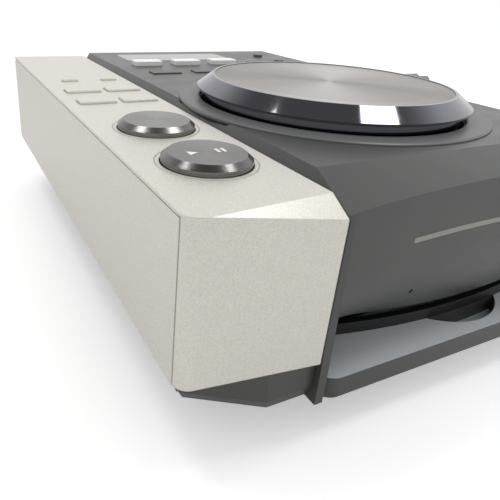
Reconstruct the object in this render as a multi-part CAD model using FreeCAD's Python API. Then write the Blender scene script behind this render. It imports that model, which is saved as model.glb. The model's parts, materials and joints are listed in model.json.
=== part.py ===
import FreeCAD, Part
import math
import os

# Tabletop disc player with a slot at the front, a jog wheel on top and a silver
# side section with the transport buttons. Millimetres, +Z up, +X to the right
# seen from the front, front towards -Y. The origin is under the middle of the
# outline, on the surface the player stands on.

Vector = FreeCAD.Vector
os.makedirs("parts", exist_ok=True)

# Overall size
width = 217.9
depth = 296.8
height = 107.5

# Heights of the main surfaces above the table
foot_height = 12.0
tray_drop = 4.0
shelf_thickness = 8.9
bevel_height = 6.0
silver_bottom = 34.6
jog_stand = 13.9
deck_step = 2.2

# Walls
wall = 2.5
floor_thickness = 2.5
plate_thickness = 2.2
panel_gap = 1.0

# Silver section
silver_width = 50.25
silver_corner_radius = 6.0
silver_front_setback = 6.1
seam_y_setback = 9.9
seam_drop = 1.0
facet_depth = 8.7
facet_drop = 5.3
rear_recess = 7.4
rear_lip = 1.1

# Dark top case
chamfer_width = 4.4
chamfer_drop = 6.8
cheek_depth = 30.0
inlay_depth = 0.8
inlay_width = 96.6
inlay_drop = 20.9
inlay_size = 2.3
eject_hole_radius = 1.0
eject_hole_offset = 39.6
eject_hole_rise = 12.9
band_depth = 23.9
band_slope = 0.31
face_radius = 700.0
face_setback = 6.6
face_lean = 1.2
face_stations = 9
reach_ahead = 60.0
face_break_drop = 29.6
cheek_width = 3.5
cheek_setback = 1.6
skirt_depth = 18.0

# Disc slot and lip
slot_height = 6.0
slot_floor = 30.0
slot_setback = 4.4
lip_bulge_radius = 280.0
lip_depth = 12.0
scoop_width = 86.0
scoop_rise = 12.0
disc_diameter = 120.0
disc_clearance = 2.0
notch_radius = 31.0
notch_offset = 7.0
notch_floor = 1.5
sill_bulge_radius = 280.0
sill_thickness = 3.0

# Jog wheel
jog_offset = 7.0
jog_y = -0.145 * depth
jog_overhang = 2.0
jog_bevel = 7.4
jog_edge_drop = 5.6
jog_rim = 1.2
ring_radius = 76.2
ring_rise = 1.0
ring_width = 11.2
jog_shaft_radius = 4.0
running_fit = 0.05
jog_well_depth = 14.0
bush_radius = 8.0
bush_stand = 8.0
ring_seat = 1.5
jog_plate_thickness = 1.6
jog_side_gap = 1.5
jog_hub_radius = 9.0
jog_skirt = 12.0
encoder_radius = 22.0
encoder_slots = 24

# Round transport buttons
round_button_radius = 16.0
round_button_rise = 3.6
round_button_bevel = 2.2
play_y = -0.3467 * depth
cue_y = -0.1948 * depth
round_button_inset = 26.6
groove_radius = 18.2

# Keys
key_gap = 0.4
key_flange = 1.5
flange_thickness = 1.2
flange_gap = 0.1
key_travel = 1.0
switch_gap = 0.2
board_thickness = 1.6
key_corner = 1.0
key_edge = 0.6
groove_size = 0.4
seam_line = 0.4
plate_corner = 4.0

# Key rows on the silver strip
strip_key_insets = (16.1, 37.95)
strip_key_width = 18.0
strip_key_depth = 10.0
strip_key_rise = 1.2
search_row_y = -0.022 * depth
track_row_y = 0.066 * depth
mode_row_y = 0.163 * depth
mode_key_insets = (16.35, 39.45)
mode_key_width = 9.0
mode_key_depth = 4.0

# Key rows on the deck
deck_key_offsets = (-48.5, -19.0, 10.5)
deck_key_width = 19.6
loop_row_y = 0.2915 * depth
loop_key_depth = 10.0
loop_key_rise = 3.0
fx_row_y = 0.182 * depth
fx_key_depth = 9.0
fx_key_rise = 0.8
side_button_inset = 28.95
side_button_y = (0.29 * depth, 0.391 * depth)
side_button_radius = 3.5
side_button_rise = 1.6
eject_key_width = 14.0
eject_key_depth = 6.0
eject_key_offset = 22.0

# Display window
window_offset = 12.6
window_y = 0.404 * depth
window_width = 84.0
window_depth = 30.0
window_corner = 3.0

# Tempo fader
fader_inset = 9.45
fader_y = -0.091 * depth
fader_travel = 60.0
fader_slot = 3.0
fader_end = 8.0
fader_body_width = 7.6
fader_body_depth = 9.0
knob_width = 9.4
knob_length = 12.0
knob_rise = 9.0
knob_lift = 1.8

# Disc mechanism
plate_height = 20.0
sheet = 1.5
mechanism_half_width = 70.0
mechanism_depth = 180.0
roller_radius = 3.6
roller_shaft_radius = 1.5
roller_setback = 7.0
chassis_setback = 16.0
gear_gap = 0.6
motor_shaft_radius = 1.0
bracket_gap = 1.5
sled_width = 36.0
sled_length = 33.0
lens_radius = 4.0
sled_motor_radius = 4.8
sled_motor_length = 13.0
tab_height = 7.0
clamp_ear_spacing = 24.0
clamp_ear = 2.0
clamp_arm_width = 20.0
clamper_neck_radius = 5.0
clamper_cap_radius = 8.0
gear_module = 0.6
gear_width = 3.0
gear_backlash = 0.14
roller_teeth = 16
idler_teeth = 24
pinion_teeth = 16
idler_rise_angle = 16.5
pinion_drop_angle = -13.5
loading_motor_radius = 7.0
loading_motor_length = 20.0
turntable_radius = 15.0
turntable_thickness = 1.8
hub_radius = 7.3
hub_rise = 1.8
spindle_radius = 1.0
spindle_motor_radius = 12.0
lead_in_radius = 24.0
sled_travel = 34.0
sled_rail_offset = 24.0
rod_radius = 1.5
clamper_radius = 15.0
clamp_height = 42.0
clamp_pin_radius = 1.5

# Boards
board_part_height = 11.0
chip_sizes = (18.0, 14.0, 22.0, 12.0)
board_side_gap = 6.0
board_height = 24.0
post_radius = 2.5
switch_stand = 2.0
switch_radius = 2.5
sensor_drop = 12.0
sensor_post_radius = 26.0

# Rear fittings
jack_radius = 4.15
mini_jack_radius = 1.8
jack_collar_radius = 5.2
jack_collar = 1.0
control_offset = 34.4
switch_width = 13.0
switch_height = 19.0
switch_tilt = 8.0
inlet_width = 18.0
inlet_height = 12.0
inlet_depth = 16.0
inlet_inset = 16.95
switch_inset = 37.45
switch_depth = 16.0
switch_pin_radius = 1.2
fitting_z = 60.0
jack_offsets = (-45.6, -25.6, 4.4)
jack_depth = 16.0
mini_jack_depth = 12.5

# Feet
foot_radius = 9.0
foot_inset = 46.0

# Base
base_inset = 6.95
base_front_inset = 2.6
base_corner_x = 25.0
base_corner_y = 15.5
bevel_width = 3.0
shelf_corner = 7.0
sill_setback = 13.4
notch_setback = 35.9
rim_inset = 1.2
rim_thickness = 1.5
tray_inset = 30.0
tray_corner = 10.0

# Derived places
left = -width / 2
right = width / 2
front = -depth / 2
rear = depth / 2
casing_rear = rear - rear_lip
back_face = casing_rear - rear_recess
silver_right = left + silver_width
dark_left = silver_right + panel_gap
dark_middle = (dark_left + right) / 2
silver_top = height - jog_stand
deck_top = silver_top + deck_step
shelf_bottom = foot_height + tray_drop
shelf_top = shelf_bottom + shelf_thickness
seam_y = front + seam_y_setback
deck_left = dark_left + chamfer_width
deck_right = right - chamfer_width
band_start = front + band_depth
slot_top = slot_floor + slot_height
round_button_x = left + round_button_inset
side_button_x = right - side_button_inset
fader_x = right - fader_inset
jog_x = dark_middle - jog_offset
window_x = jog_x - window_offset
eject_hole_x = dark_middle - eject_hole_offset
eject_hole_z = slot_top + eject_hole_rise
inlay_height = silver_top - inlay_drop
face_break_height = silver_top - face_break_drop
jog_edge_height = height - jog_edge_drop
ring_bore_radius = ring_radius - ring_width
jog_base_radius = ring_bore_radius + jog_overhang
jog_top_radius = jog_base_radius - jog_bevel
notch_x = dark_middle + notch_offset
inlet_x = left + inlet_inset
switch_x = left + switch_inset
jack_places = tuple(dark_middle + offset for offset in jack_offsets)
control_x = dark_middle + control_offset
slot_y = front + slot_setback + face_setback
sill_y = front + sill_setback
notch_y = front + notch_setback
mechanism_front = sill_y + chassis_setback
mechanism_rear = mechanism_front + mechanism_depth
roller_y = mechanism_front + roller_setback
roller_z = slot_floor + 0.2 - roller_radius
turntable_y = roller_y + roller_radius + disc_clearance + disc_diameter / 2
guide_height = slot_top + 0.2
board_top = board_height + board_thickness
switch_pivot_y = back_face - 1.5
lens_y = turntable_y + lead_in_radius
sled_front = lens_y - 9.0
rail_z = plate_height + sheet + 2.0
tab_front = sled_front - 5.0
tab_rear = sled_front + sled_length + sled_travel + 3.0
gear_x = dark_middle - mechanism_half_width - sheet - gear_gap - gear_width
idler_y = roller_y + (roller_teeth + idler_teeth) / 2 * gear_module * math.cos(math.radians(idler_rise_angle))
idler_z = roller_z + (roller_teeth + idler_teeth) / 2 * gear_module * math.sin(math.radians(idler_rise_angle))
pinion_y = idler_y + (idler_teeth + pinion_teeth) / 2 * gear_module * math.cos(math.radians(pinion_drop_angle))
pinion_z = idler_z + (idler_teeth + pinion_teeth) / 2 * gear_module * math.sin(math.radians(pinion_drop_angle))
reach = 400.0

# Keys as (x, y, width, depth, rise)
strip_keys = {
    "search_back_key": (left + strip_key_insets[0], search_row_y, strip_key_width, strip_key_depth, strip_key_rise),
    "search_next_key": (left + strip_key_insets[1], search_row_y, strip_key_width, strip_key_depth, strip_key_rise),
    "track_back_key": (left + strip_key_insets[0], track_row_y, strip_key_width, strip_key_depth, strip_key_rise),
    "track_next_key": (left + strip_key_insets[1], track_row_y, strip_key_width, strip_key_depth, strip_key_rise),
    "folder_key": (left + mode_key_insets[0], mode_row_y, mode_key_width, mode_key_depth, strip_key_rise),
    "time_key": (left + mode_key_insets[1], mode_row_y, mode_key_width, mode_key_depth, strip_key_rise),
}
deck_keys = {
    "loop_in_key": (jog_x + deck_key_offsets[0], loop_row_y, deck_key_width, loop_key_depth, loop_key_rise),
    "loop_out_key": (jog_x + deck_key_offsets[1], loop_row_y, deck_key_width, loop_key_depth, loop_key_rise),
    "loop_exit_key": (jog_x + deck_key_offsets[2], loop_row_y, deck_key_width, loop_key_depth, loop_key_rise),
    "effect_key_1": (jog_x + deck_key_offsets[0], fx_row_y, deck_key_width, fx_key_depth, fx_key_rise),
    "effect_key_2": (jog_x + deck_key_offsets[1], fx_row_y, deck_key_width, fx_key_depth, fx_key_rise),
    "effect_key_3": (jog_x + deck_key_offsets[2], fx_row_y, deck_key_width, fx_key_depth, fx_key_rise),
    "eject_key": (side_button_x - eject_key_offset, side_button_y[0], eject_key_width, eject_key_depth, fx_key_rise),
}
side_buttons = {
    "range_button": (side_button_x, side_button_y[0]),
    "master_button": (side_button_x, side_button_y[1]),
}


def block(x_range, y_range, z_range):
    """Plain box between three pairs of limits."""
    size = [high - low for low, high in (x_range, y_range, z_range)]
    return Part.makeBox(size[0], size[1], size[2], Vector(x_range[0], y_range[0], z_range[0]))


def around(centre, size):
    """Pair of limits for a size about a centre."""
    return (centre - size / 2, centre + size / 2)


def post(x, y, z_range, radius):
    """Upright cylinder."""
    return Part.makeCylinder(radius, z_range[1] - z_range[0], Vector(x, y, z_range[0]))


def bar(x_range, y, z, radius):
    """Cylinder along X."""
    return Part.makeCylinder(radius, x_range[1] - x_range[0], Vector(x_range[0], y, z), Vector(1, 0, 0))


def rod(x, y_range, z, radius):
    """Cylinder along Y."""
    return Part.makeCylinder(radius, y_range[1] - y_range[0], Vector(x, y_range[0], z), Vector(0, 1, 0))


def upright_edges(shape):
    """Edges that run along Z."""
    found = []
    for edge in shape.Edges:
        start, end = edge.Vertexes[0].Point, edge.Vertexes[-1].Point
        if abs(start.x - end.x) < 1e-6 and abs(start.y - end.y) < 1e-6 and abs(start.z - end.z) > 1e-3:
            found.append(edge)
    return found


def pad(x_range, y_range, z_range, radius):
    """Box with its upright edges rounded."""
    shape = block(x_range, y_range, z_range)
    return shape.makeFillet(radius, upright_edges(shape))


def prism(points, z_range):
    """Upright prism on a flat outline of (x, y) points."""
    ring = [Vector(x, y, z_range[0]) for x, y in points]
    face = Part.Face(Part.makePolygon(ring + ring[:1]))
    return face.extrude(Vector(0, 0, z_range[1] - z_range[0]))


def slab_along_x(points, x_range):
    """Prism along X on an outline of (y, z) points."""
    ring = [Vector(x_range[0], y, z) for y, z in points]
    face = Part.Face(Part.makePolygon(ring + ring[:1]))
    return face.extrude(Vector(x_range[1] - x_range[0], 0, 0))


def slab_along_y(points, y_range):
    """Prism along Y on an outline of (x, z) points."""
    ring = [Vector(x, y_range[0], z) for x, z in points]
    face = Part.Face(Part.makePolygon(ring + ring[:1]))
    return face.extrude(Vector(0, y_range[1] - y_range[0], 0))


def turned(points, x, y):
    """Solid of revolution about an upright axis from (radius, z) points."""
    ring = [Vector(radius, 0, z) for radius, z in points]
    face = Part.Face(Part.makePolygon(ring + ring[:1]))
    solid = face.revolve(Vector(0, 0, 0), Vector(0, 0, 1), 360)
    return solid.translated(Vector(x, y, 0))


def save(name, shape):
    """Write one piece to its own file."""
    solid = shape.Solids[0] if len(shape.Solids) == 1 else shape
    solid.exportStep("parts/" + name + ".step")
    print(name, len(shape.Solids), "solid", round(shape.Volume), "mm3")


# Silver section

def silver_front(x, inset):
    """Y of the canted silver front at a given x."""
    slope = silver_front_setback / silver_width
    return front + slope * (silver_right - x) + inset * math.hypot(1, slope)


def silver_form(inset, y_end, z_range):
    """Outline of the silver section, drawn in by an inset."""
    x_low, x_high = left + inset, silver_right - inset
    outline = [(x_low, y_end), (x_low, silver_front(x_low, inset)),
               (x_high, silver_front(x_high, inset)), (x_high, y_end)]
    shape = prism(outline, z_range)
    corner = [edge for edge in upright_edges(shape)
              if abs(edge.Vertexes[0].X - x_low) < 0.01 and edge.Vertexes[0].Y < 0]
    return shape.makeFillet(silver_corner_radius - inset, corner)


def front_facet():
    """Corner that is planed off the silver front, from nothing to full depth."""
    apex = Vector(left + silver_corner_radius, silver_front(left + silver_corner_radius, 0), silver_top)
    grow = 1.1
    heel = Vector(silver_right, front + facet_depth, silver_top)
    toe = Vector(silver_right, front, silver_top - facet_drop)
    out = Vector(silver_right, front - facet_depth, silver_top + facet_drop)
    points = [apex] + [apex + (corner - apex) * grow for corner in (heel, toe, out)]
    faces = []
    for trio in ((0, 1, 2), (0, 2, 3), (0, 3, 1), (1, 3, 2)):
        ring = [points[index] for index in trio]
        faces.append(Part.Face(Part.makePolygon(ring + ring[:1])))
    return Part.makeSolid(Part.makeShell(faces))


def key_flange_range(panel_top):
    """Z limits of the flange that holds a key under its panel."""
    high = panel_top - wall - flange_gap
    return (high - flange_thickness, high)


def key_board_top(panel_top):
    """Top of the switch board under a panel."""
    return key_flange_range(panel_top)[0] - key_travel - switch_gap - switch_stand


def key_cap(spot, panel_top):
    """Rectangular key with its flange."""
    x, y, size_x, size_y, rise = spot
    low, high = key_flange_range(panel_top)
    cap = pad(around(x, size_x), around(y, size_y), (low, panel_top + rise), key_corner)
    top_edges = [edge for edge in cap.Edges if edge.BoundBox.ZMin > panel_top + rise - 0.01]
    cap = cap.makeFillet(min(key_edge, rise / 2), top_edges)
    flange = block(around(x, size_x), around(y, size_y + 2 * key_flange), (low, high))
    return cap.fuse(flange).removeSplitter()


def key_hole(spot, panel_top):
    """Opening in the panel that a rectangular key moves in."""
    x, y, size_x, size_y, rise = spot
    z_range = (panel_top - wall - 1, panel_top + 1)
    return pad(around(x, size_x + 2 * key_gap), around(y, size_y + 2 * key_gap), z_range, key_corner + key_gap)


def round_button(y):
    """Large bevelled transport button with its flange."""
    low, high = key_flange_range(silver_top)
    top = silver_top + round_button_rise
    shoulder = silver_top + round_button_rise / 2
    profile = [(0, low), (round_button_radius + key_flange, low), (round_button_radius + key_flange, high),
               (round_button_radius, high), (round_button_radius, shoulder),
               (round_button_radius - round_button_bevel, top), (0, top)]
    return turned(profile, round_button_x, y)


def silver_panel():
    """Silver front and top moulding, open behind and below."""
    shape = silver_form(0, casing_rear, (silver_bottom, silver_top))
    shape = shape.cut(front_facet())
    hollow = silver_form(wall, casing_rear + 1, (silver_bottom - 1, silver_top - wall))
    facet_room = front_facet().translated(Vector(0, wall / 2, -wall))
    shape = shape.cut(hollow.cut(facet_room))
    pocket = block((left - 1, left + plate_thickness), (seam_y, casing_rear + 1),
                   (silver_bottom - 1, silver_top - seam_drop))
    shape = shape.cut(pocket)
    carrier = block((left + plate_thickness, left + plate_thickness + wall), (seam_y, casing_rear),
                    (silver_bottom, silver_top - wall))
    shape = shape.fuse(carrier)
    skirt = block((silver_right - wall - 0.5, silver_right + 1), (front + 4 * skirt_depth, casing_rear + 1),
                  (silver_bottom - 1, silver_top - skirt_depth))
    shape = shape.cut(skirt)
    for spot in strip_keys.values():
        shape = shape.cut(key_hole(spot, silver_top))
    for y in (play_y, cue_y):
        shape = shape.cut(post(round_button_x, y, (silver_top - wall - 1, silver_top + 1),
                               round_button_radius + key_gap))
        groove = post(round_button_x, y, (silver_top - groove_size, silver_top + 1), groove_radius)
        groove = groove.cut(post(round_button_x, y, (silver_top - 1, silver_top + 2),
                                 groove_radius - groove_size))
        shape = shape.cut(groove)
    board = key_board_top(silver_top)
    for x, y in strip_board_posts():
        shape = shape.fuse(post(x, y, (board, silver_top - wall + 0.1), post_radius))
    return shape.removeSplitter()


def side_plate():
    """Flat plate let into the silver side, with its rear corners rounded."""
    shape = block((left, left + plate_thickness), (seam_y + seam_line, casing_rear),
                  (silver_bottom, silver_top - seam_drop - seam_line))
    corners = [edge for edge in shape.Edges
               if abs(edge.BoundBox.XLength - plate_thickness) < 0.01 and edge.BoundBox.YMin > 0]
    return shape.makeFillet(plate_corner, corners)


def strip_board_posts():
    """Places of the posts that hold the strip's switch board."""
    x_low, x_high = strip_board_x()
    y_low, y_high = strip_board_y()
    inner = post_radius + 0.5
    middle = (play_y + cue_y) / 2
    return [(x_low + inner, y_low + inner), (x_high - inner, y_low + inner), (x_low + inner, middle),
            (x_low + inner, y_high - inner), (x_high - inner, y_high - inner)]


def strip_board_x():
    return (left + plate_thickness + wall + 1.0, silver_right - wall - 1.0)


def strip_board_y():
    return (play_y - round_button_radius - 10.0, mode_row_y + 18.0)


def strip_board():
    """Switch board under the silver strip."""
    top = key_board_top(silver_top)
    shape = block(strip_board_x(), strip_board_y(), (top - board_thickness, top))
    spots = [(spot[0], spot[1]) for spot in strip_keys.values()]
    spots += [(round_button_x, play_y), (round_button_x, cue_y)]
    for x, y in spots:
        shape = shape.fuse(post(x, y, (top - 0.1, top + switch_stand), switch_radius))
    return shape.removeSplitter()


# Dark top case

def lip_line(x):
    """Y of the lip's lower edge, which bulges forward like the sill below it."""
    reach_x = x - dark_middle
    return slot_y + lip_bulge_radius - math.sqrt(lip_bulge_radius ** 2 - reach_x ** 2)


def face_section(x, inset):
    """Region in front of the face in one upright plane across the case."""
    hollow = math.sqrt(face_radius ** 2 - (x - dark_middle) ** 2) - face_radius
    base = front + face_setback + hollow + inset
    top = Vector(x, base + face_lean * 0.4, height)
    bend = Vector(x, base - face_lean, face_break_height)
    lip = Vector(x, lip_line(x) + inset, slot_top)
    tangent = (bend - top).normalize()
    normal = Vector(0, -tangent.z, tangent.y)
    chord = lip - bend
    radius = chord.dot(chord) / (2 * normal.dot(chord))
    centre = bend + normal * radius
    half = (lip - centre) + (bend - centre)
    middle = centre + half.normalize() * radius
    near = Vector(x, front - reach_ahead, height)
    low = Vector(x, front - reach_ahead, foot_height)
    foot = Vector(x, lip.y, foot_height)
    edges = [Part.makeLine(near, top), Part.makeLine(top, bend), Part.Arc(bend, middle, lip).toShape(),
             Part.makeLine(lip, foot), Part.makeLine(foot, low), Part.makeLine(low, near)]
    return Part.Wire(edges)


def face_cutter(inset, x_range):
    """Everything in front of the moulded face, between two side limits."""
    ends = (dark_left, right)
    step = (ends[1] - ends[0]) / (face_stations - 1)
    sections = [face_section(ends[0] + step * index, inset) for index in range(face_stations)]
    shape = Part.makeLoft(sections, True, False)
    return shape.common(block(x_range, (front - 90, rear), (0, reach)))


def case_form(inset, low):
    """Outer form of the dark body, drawn in by an inset."""
    top = deck_top - inset
    shoulder = deck_top - chamfer_drop
    near_deck = 0.4 * inset
    section = [(dark_left + inset, low), (dark_left + inset, shoulder),
               (deck_left + near_deck, top), (deck_right - near_deck, top),
               (right - inset, shoulder), (right - inset, low)]
    shape = slab_along_y(section, (front - 2, casing_rear + inset))
    fall = band_slope * band_depth
    over = [(band_start, top), (front - 10, top - fall - 10 * band_slope), (front - 10, reach),
            (band_start, reach)]
    shape = shape.cut(slab_along_x(over, (left, right)))
    nose = [(front + inset, low - 1), (front + inset, shelf_top),
            (front + inset + cheek_setback, deck_top), (front + inset + cheek_setback, reach),
            (front - reach, reach), (front - reach, low - 1)]
    return shape.cut(slab_along_x(nose, (left, right + 1)))


def scoop():
    """Finger scoop that arches up in the middle of the lip."""
    half = scoop_width / 2
    radius = (half ** 2 + scoop_rise ** 2) / (2 * scoop_rise)
    y = slot_y + 2.0
    start = Vector(dark_middle, y, slot_top - radius)
    direction = Vector(0, -1, 1)
    shape = Part.makeCylinder(radius, 60, start - direction.normalize() * 5, direction)
    return shape.common(block((left, right), (front - 60, slot_y + 14), (slot_top - 1, reach)))


def jog_well():
    """Round well in the deck that the jog wheel turns in."""
    floor = deck_top - jog_well_depth
    profile = [(bush_radius, floor - wall), (ring_bore_radius + wall, floor - wall),
               (ring_bore_radius + wall, deck_top - wall), (ring_bore_radius, deck_top - wall),
               (ring_bore_radius, floor), (bush_radius, floor)]
    return turned(profile, jog_x, jog_y)


def well_posts():
    """Places of the posts that hold the jog's sensor board under the well."""
    return [(jog_x + side * sensor_post_radius, jog_y + end * sensor_post_radius)
            for side in (-1, 1) for end in (-1, 1)]


def top_case():
    """Dark moulding: deck, sloped band, concave front with lip, sides and cheeks."""
    shape = case_form(0, shelf_bottom)
    shape = shape.cut(face_cutter(0, (dark_left + cheek_width, right - cheek_width)))
    shape = shape.cut(block((dark_left + cheek_width, right - cheek_width), (front - 5, slot_y + 20),
                            (0, slot_top)))
    shape = shape.cut(block((left, right + 1), (front + cheek_depth, rear + 5), (0, silver_bottom)))
    lip = shape.common(block(around(dark_middle, scoop_width + 8), (front - 5, slot_y + lip_depth),
                             (slot_top, slot_top + scoop_rise + 3)))
    hollow = case_form(wall, shelf_bottom - 5)
    hollow = hollow.cut(face_cutter(wall, (left, right)))
    hollow = hollow.cut(block((left, right), (front - 5, slot_y + 3), (0, slot_top - 0.01)))
    shape = shape.cut(hollow).fuse(lip)
    shape = shape.cut(scoop())
    skirt = block((dark_left - 1, dark_left + wall + 0.5), (front + 4 * skirt_depth, rear),
                  (0, deck_top - skirt_depth))
    shape = shape.cut(skirt)
    shape = shape.cut(post(jog_x, jog_y, (deck_top - ring_seat, reach), ring_radius + 0.05))
    shape = shape.cut(post(jog_x, jog_y, (deck_top - wall - 1, reach), ring_bore_radius))
    shape = shape.fuse(jog_well())
    for spot in deck_keys.values():
        shape = shape.cut(key_hole(spot, deck_top))
    for x, y in side_buttons.values():
        shape = shape.cut(post(x, y, (deck_top - wall - 1, reach), side_button_radius + key_gap))
    shape = shape.cut(block(around(fader_x, fader_slot), around(fader_y, fader_travel + fader_slot + 2),
                            (deck_top - wall - 1, reach)))
    window = pad(around(window_x, window_width), around(window_y, window_depth),
                 (deck_top - wall - 1, reach), window_corner)
    shape = shape.cut(window)
    shape = shape.cut(Part.makeCylinder(eject_hole_radius, 30, Vector(eject_hole_x, front - 5, eject_hole_z),
                                        Vector(0, 1, 0)))
    inlay = face_cutter(inlay_depth, around(dark_middle, inlay_width)).common(
        block((left, right), (front - 10, rear), around(inlay_height, inlay_size)))
    shape = shape.cut(inlay)
    board = key_board_top(deck_top)
    for x, y in deck_board_posts():
        shape = shape.fuse(post(x, y, (board, deck_top - wall + 0.1), post_radius))
    sensor = deck_top - jog_well_depth - wall
    for x, y in well_posts():
        shape = shape.fuse(post(x, y, (sensor - sensor_drop, sensor + 0.1), post_radius))
    return shape.removeSplitter()


def light_strip():
    """Pale inlay let into the front face."""
    shape = face_cutter(inlay_depth, around(dark_middle, inlay_width - 0.2))
    shape = shape.cut(face_cutter(0, (left, right)))
    return shape.common(block((left, right), (front - 10, rear), around(inlay_height, inlay_size - 0.2)))


def deck_board_x():
    return (dark_left + wall + 3, side_button_x + 12)


def deck_board_y():
    return (fx_row_y - 11, window_y + window_depth / 2 + 1)


def deck_board_posts():
    """Places of the posts that hold the deck's switch board."""
    x_low, x_high = deck_board_x()
    y_low, y_high = deck_board_y()
    inner = post_radius + 0.5
    return [(x, y) for x in (x_low + inner, x_high - inner) for y in (y_low + inner, y_high - inner)]


def deck_board():
    """Switch board under the deck keys, with the display module behind its window."""
    top = key_board_top(deck_top)
    shape = block(deck_board_x(), deck_board_y(), (top - board_thickness, top))
    spots = [(spot[0], spot[1]) for spot in deck_keys.values()] + list(side_buttons.values())
    for x, y in spots:
        shape = shape.fuse(post(x, y, (top - 0.1, top + switch_stand), switch_radius))
    module = block(around(window_x, window_width - 2), around(window_y, window_depth - 2),
                   (top - 0.1, deck_top - wall))
    return shape.fuse(module).removeSplitter()


def side_button(x, y):
    """Small round deck button."""
    low, high = key_flange_range(deck_top)
    shape = post(x, y, (low, deck_top + side_button_rise), side_button_radius)
    return shape.fuse(post(x, y, (low, high), side_button_radius + key_flange)).removeSplitter()


# Base

def base_plan(inset):
    """Outline of the base with its front corners cut off diagonally."""
    x_low, x_high = left + base_inset + inset, right - base_inset - inset
    y_low, y_high = front + base_front_inset + inset, back_face - inset
    return [(x_low, y_high), (x_low, y_low + base_corner_y), (x_low + base_corner_x, y_low),
            (x_high - base_corner_x, y_low), (x_high, y_low + base_corner_y), (x_high, y_high)]


def wire_at(points, z):
    ring = [Vector(x, y, z) for x, y in points]
    return Part.makePolygon(ring + ring[:1])


def base_form(inset, low, high):
    """Base body: a bevel below and an upright wall above."""
    bevel = Part.makeLoft([wire_at(base_plan(inset + bevel_width), low),
                           wire_at(base_plan(inset), low + bevel_height)], True, True)
    return bevel.fuse(prism(base_plan(inset), (low + bevel_height - 0.01, high)))


def sill_line(y_back, z_range):
    """Everything behind the bulging front of the slot sill."""
    disc = post(dark_middle, sill_y + sill_bulge_radius, z_range, sill_bulge_radius)
    return disc.common(block((dark_left + cheek_width, right - cheek_width), (front, y_back), z_range))


def shelf():
    """Flat lip under the slot, with rounded ends and a finger notch."""
    x_range = (dark_left + cheek_width, right - cheek_width)
    shape = block(x_range, (front, sill_y + chassis_setback - 1), (shelf_bottom, shelf_top))
    corners = [edge for edge in upright_edges(shape) if edge.Vertexes[0].Y < front + 1]
    shape = shape.makeFillet(shelf_corner, corners)
    z_range = (shelf_bottom + notch_floor, shelf_top + 1)
    notch = post(notch_x, notch_y, z_range, notch_radius)
    return shape.cut(notch.cut(sill_line(sill_y + 20, z_range)))


def foot_places():
    return [(x, y) for x in (left + foot_inset, right - foot_inset)
            for y in (front + foot_inset, back_face - foot_inset)]


def base_pan():
    """Bottom moulding: stepped floor, walls, rim, shelf and posts."""
    rim_high = silver_bottom
    shape = base_form(0, shelf_bottom, rim_high)
    hollow = base_form(wall, shelf_bottom + floor_thickness, rim_high + 1)
    x_low, x_high = left + rim_inset, right - rim_inset
    y_low, y_high = front + 2 * rim_inset + silver_front_setback, back_face
    rim = block((x_low, x_high), (y_low, y_high), (rim_high - rim_thickness, rim_high))
    shape = shape.fuse(rim)
    tray_x = (left + tray_inset, right - tray_inset)
    tray_y = (front + tray_inset, back_face - tray_inset)
    shape = shape.fuse(pad(tray_x, tray_y, (foot_height, shelf_bottom + 1), tray_corner))
    tray_room = pad((tray_x[0] + wall, tray_x[1] - wall), (tray_y[0] + wall, tray_y[1] - wall),
                    (foot_height + floor_thickness, shelf_bottom + floor_thickness + 1), tray_corner - wall)
    shape = shape.cut(hollow.fuse(tray_room))
    opening = (dark_left, right)
    shape = shape.cut(block(opening, (front - 5, mechanism_front), (shelf_top, rim_high + 1)))
    shape = shape.cut(block(opening, (front - 5, sill_y + 8), (0, shelf_top + 1)))
    shape = shape.fuse(shelf())
    cheek_room = cheek_depth + 0.1
    for x_range in ((dark_left - 0.1, dark_left + cheek_width), (right - cheek_width, right + 1)):
        shape = shape.cut(block(x_range, (front - 5, front + cheek_room), (0, reach)))
    for x, y in mechanism_posts():
        shape = shape.fuse(post(x, y, (floor_at(x, y), plate_height), post_radius + 1))
    for x, y in main_board_posts() + power_board_posts():
        shape = shape.fuse(post(x, y, (floor_at(x, y), board_height), post_radius))
    return shape.removeSplitter()


def foot(x, y):
    """Rubber foot with a slight taper, flat on the table."""
    profile = [(0, 0), (foot_radius - 1.0, 0), (foot_radius, 1.5), (foot_radius, foot_height), (0, foot_height)]
    return turned(profile, x, y)


def slot_sill():
    """Bulging wall between the shelf and the disc slot."""
    outer = sill_line(sill_y + 12, (shelf_top, slot_floor))
    inner = post(dark_middle, sill_y + sill_bulge_radius, (shelf_top - 1, slot_floor + 1),
                 sill_bulge_radius - sill_thickness)
    return outer.cut(inner)


def rear_panel():
    """Rear wall with holes for its fittings, notched round the panels' skirts."""
    y_range = (back_face - wall, back_face)
    shape = block((left + plate_thickness + wall, silver_right), y_range,
                  (silver_bottom, silver_top - wall))
    shape = shape.fuse(block((silver_right - 1, right - wall), y_range, (silver_bottom, deck_top - wall)))
    notch = (silver_right - wall - 0.1, dark_left + wall + 0.1)
    shape = shape.cut(block(notch, (back_face - 5, back_face + 5), (silver_top - skirt_depth - 0.5, reach)))
    shoulder = deck_top - chamfer_drop
    for edge, deck_edge, away in ((right - wall, deck_right - 0.4 * wall, right + 1),
                                  (dark_left + wall, deck_left + 0.4 * wall, silver_right)):
        shape = shape.cut(slab_along_y([(away, shoulder), (away, reach), (deck_edge, reach),
                                        (deck_edge, deck_top - wall), (edge, shoulder)],
                                       (back_face - 5, back_face + 5)))
    shape = shape.cut(block(around(inlet_x, inlet_width), (back_face - 5, back_face + 5),
                            around(fitting_z, inlet_height)))
    shape = shape.cut(block(around(switch_x, switch_width + 0.8), (back_face - 5, back_face + 5),
                            around(fitting_z, switch_height + 0.8)))
    for x in jack_places + (control_x,):
        shape = shape.cut(rod(x, (back_face - 5, back_face + 5), fitting_z, jack_collar_radius))
    return shape.removeSplitter()


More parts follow.
